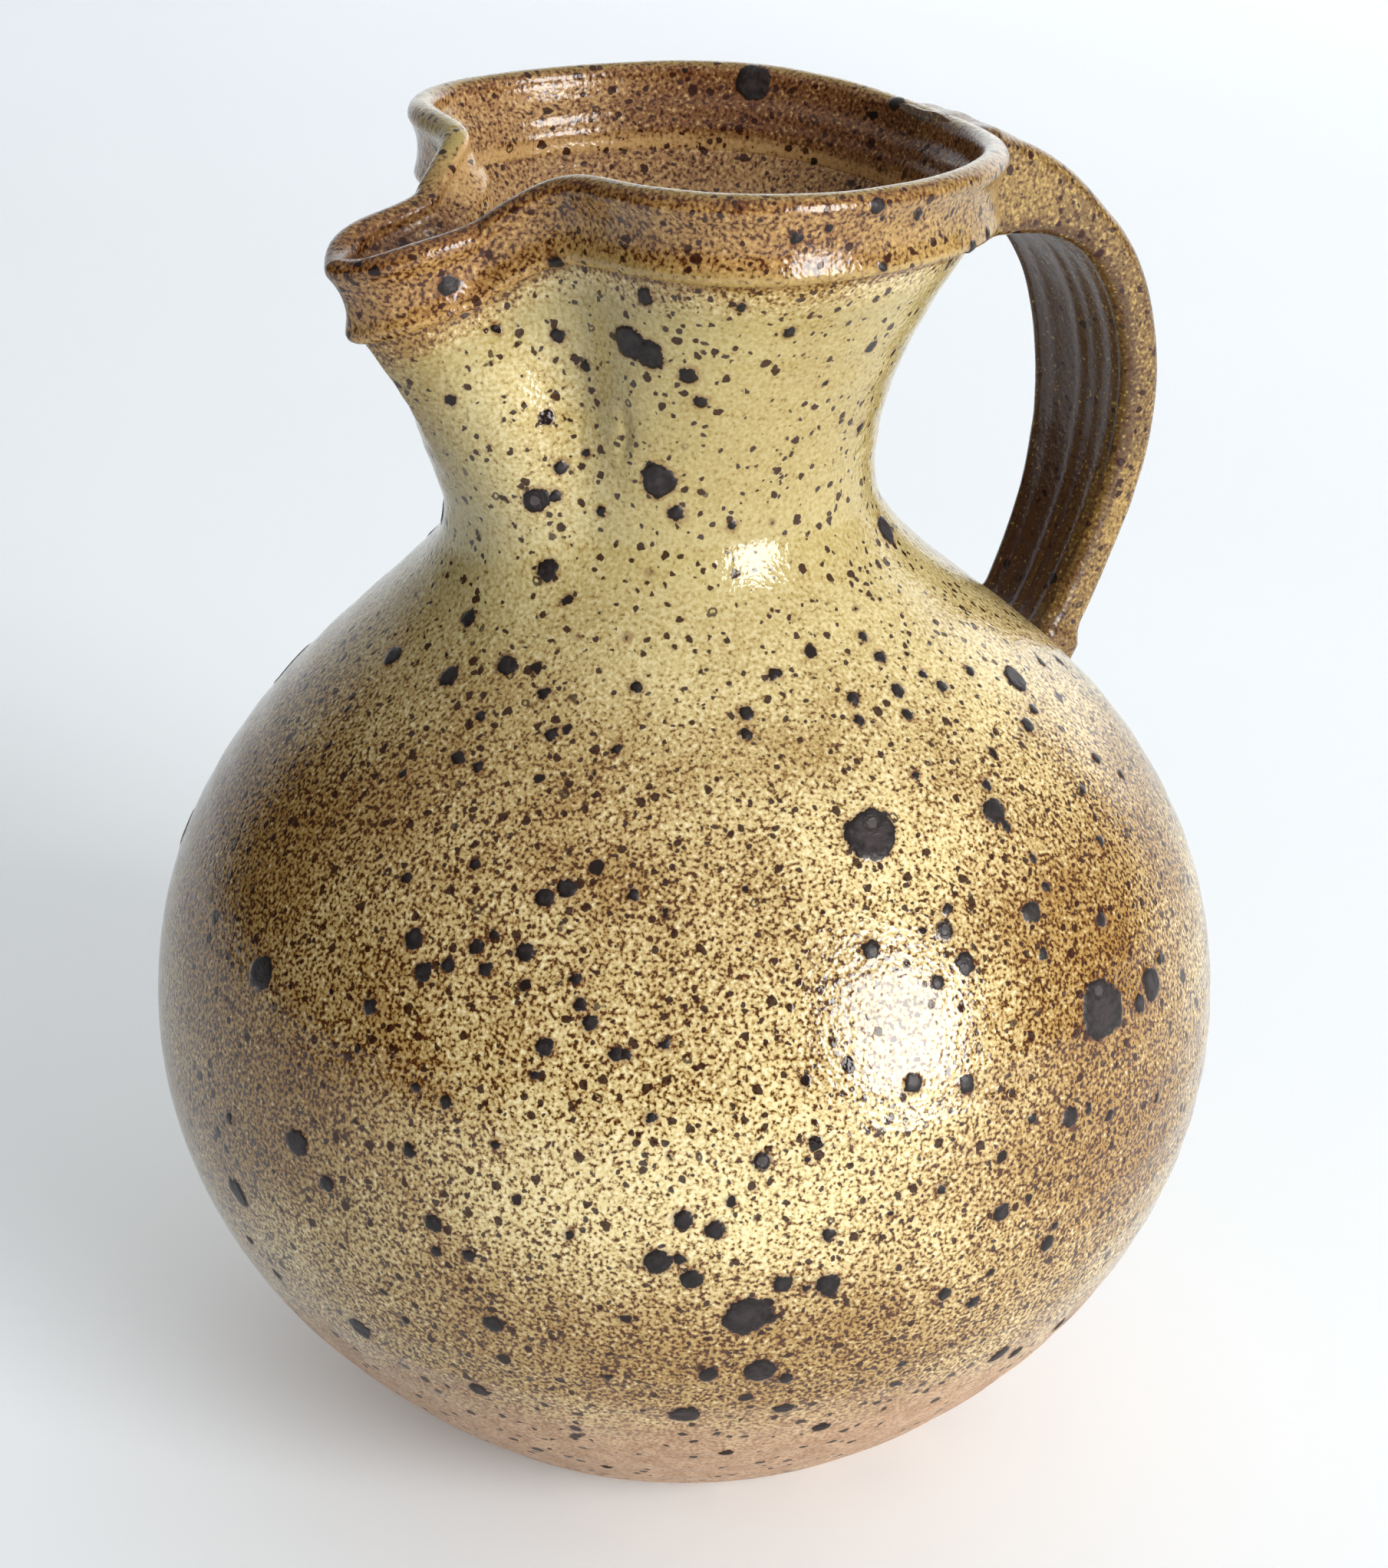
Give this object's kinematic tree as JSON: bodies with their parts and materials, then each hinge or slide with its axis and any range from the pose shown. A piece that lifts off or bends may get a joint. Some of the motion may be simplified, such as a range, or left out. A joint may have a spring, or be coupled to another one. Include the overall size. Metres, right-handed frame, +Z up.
{
  "type": "stoneware pitcher",
  "caption": "Salt-glazed stoneware pitcher with a round belly, a waisted neck, a banded rim pinched into a spout and a pulled strap handle.",
  "frame": {"origin": "centre of the flat underside", "axes": "+Z up, -X towards the spout, +X towards the handle"},
  "size_m": [0.18, 0.18, 0.2209],
  "materials": {
    "ochre_glaze": "ochre salt glaze with brown and black iron specks",
    "brown_glaze": "browner salt glaze with iron specks",
    "slip_clay": "fired slip in the joints"
  },
  "bodies": {
    "root": {"belly": "ochre_glaze", "neck": "ochre_glaze", "rim_collar": "brown_glaze", "handle": "brown_glaze", "handle_upper_lute": "brown_glaze", "handle_lower_lute": "brown_glaze", "neck_slip": "slip_clay", "rim_slip": "slip_clay"}
  },
  "joints": []
}
